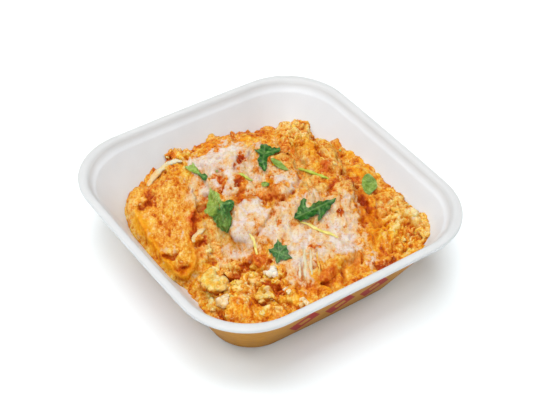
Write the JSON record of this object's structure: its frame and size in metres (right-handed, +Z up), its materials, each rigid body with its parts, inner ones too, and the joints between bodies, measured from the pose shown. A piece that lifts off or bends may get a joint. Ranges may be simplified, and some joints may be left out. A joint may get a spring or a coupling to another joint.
{
  "type": "katsudon in a square takeaway tray",
  "caption": "Fried pork cutlet slices in soft egg over rice, topped with herb leaves, filling a deep rounded-square foam tray with a flanged rim.",
  "frame": {"origin": "middle of the tray's flat foot, on the surface it stands on", "axes": "+Z up out of the tray; the tray's four sides face along X and Y, with the low side of the food towards -X and the cutlet slices lying roughly along Y"},
  "size_m": [0.165, 0.165, 0.048],
  "materials": {
    "foam": "satin",
    "egg": "satin",
    "cutlet": "satin",
    "egg_white": "satin",
    "onion": "gloss",
    "herb": "satin",
    "stalk": "satin"
  },
  "bodies": {
    "root": {"tray": "foam", "egg_heap": "egg", "cutlet_1": "cutlet", "cutlet_2": "cutlet", "cutlet_3": "cutlet", "cutlet_4": "cutlet", "cutlet_5": "cutlet", "egg_white_1": "egg_white", "egg_white_2": "egg_white", "egg_white_3": "egg_white", "onion_1": "onion", "onion_2": "onion", "onion_3": "onion", "leaf_1": "herb", "leaf_2": "herb", "leaf_3": "herb", "leaf_4": "herb", "leaf_5": "herb", "leaf_6": "herb", "leaf_7": "herb", "stalk_1": "stalk", "stalk_2": "stalk", "stalk_3": "stalk", "stalk_4": "stalk"}
  },
  "joints": []
}
